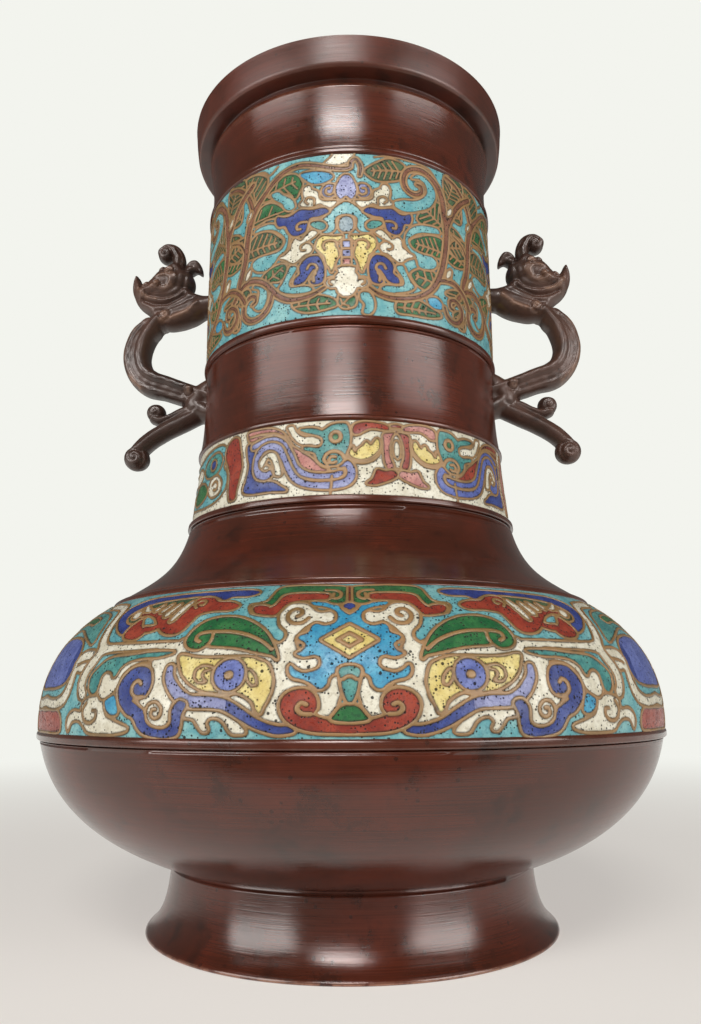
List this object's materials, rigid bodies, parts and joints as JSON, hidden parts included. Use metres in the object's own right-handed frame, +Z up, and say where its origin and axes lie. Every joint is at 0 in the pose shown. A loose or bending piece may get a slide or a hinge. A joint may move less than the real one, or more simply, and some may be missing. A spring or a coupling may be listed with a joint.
{
  "type": "enamelled bronze vase",
  "caption": "Tall cast bronze vase with a bulging body, splayed foot, thick mouth rim, enamelled bands and dragon handles.",
  "frame": {"origin": "centre of the foot on the surface that the vase stands on", "axes": "+Z up along the axis of the vase, handles along X, the front towards -Y"},
  "size_m": [0.2564, 0.2564, 0.36],
  "materials": {
    "bronze": "reddish brown patina, satin, lightly rubbed",
    "bronze_dark": "dark brown patina, satin",
    "bronze_worn": "rubbed golden brown edges between the enamels",
    "enamel_turquoise": "opaque, low gloss, pitted",
    "enamel_cerulean": "opaque, low gloss, pitted",
    "enamel_cobalt": "opaque, low gloss, pitted",
    "enamel_green": "opaque, low gloss, pitted",
    "enamel_red": "opaque, low gloss, pitted",
    "enamel_cream": "opaque, low gloss, pitted",
    "enamel_yellow": "opaque, low gloss, pitted",
    "enamel_lavender": "opaque, low gloss, pitted",
    "enamel_pink": "opaque, low gloss, pitted",
    "enamel_grey": "opaque, low gloss, pitted"
  },
  "bodies": {
    "root": {"mouth_rim": "bronze", "upper_neck": "bronze", "middle_neck": "bronze", "shoulder": "bronze", "body_casting": "bronze", "lower_bowl": "bronze", "foot_ring": "bronze", "base_plate": "bronze_dark", "upper_enamel": "enamel_turquoise", "upper_enamel_pearls": "enamel_grey", "lower_enamel": "enamel_cream", "lower_enamel_eyes": "enamel_green", "body_enamel": "enamel_turquoise", "body_enamel_eyes": "enamel_cobalt", "body_enamel_lozenges": "enamel_yellow", "handle_left": "bronze_dark", "handle_right": "bronze_dark", "handle_left_pearls": "bronze_dark", "handle_right_pearls": "bronze_dark", "rivets_upper_left": "bronze_dark", "rivets_upper_right": "bronze_dark", "rivets_lower_left": "bronze_dark", "rivets_lower_right": "bronze_dark"}
  },
  "joints": []
}
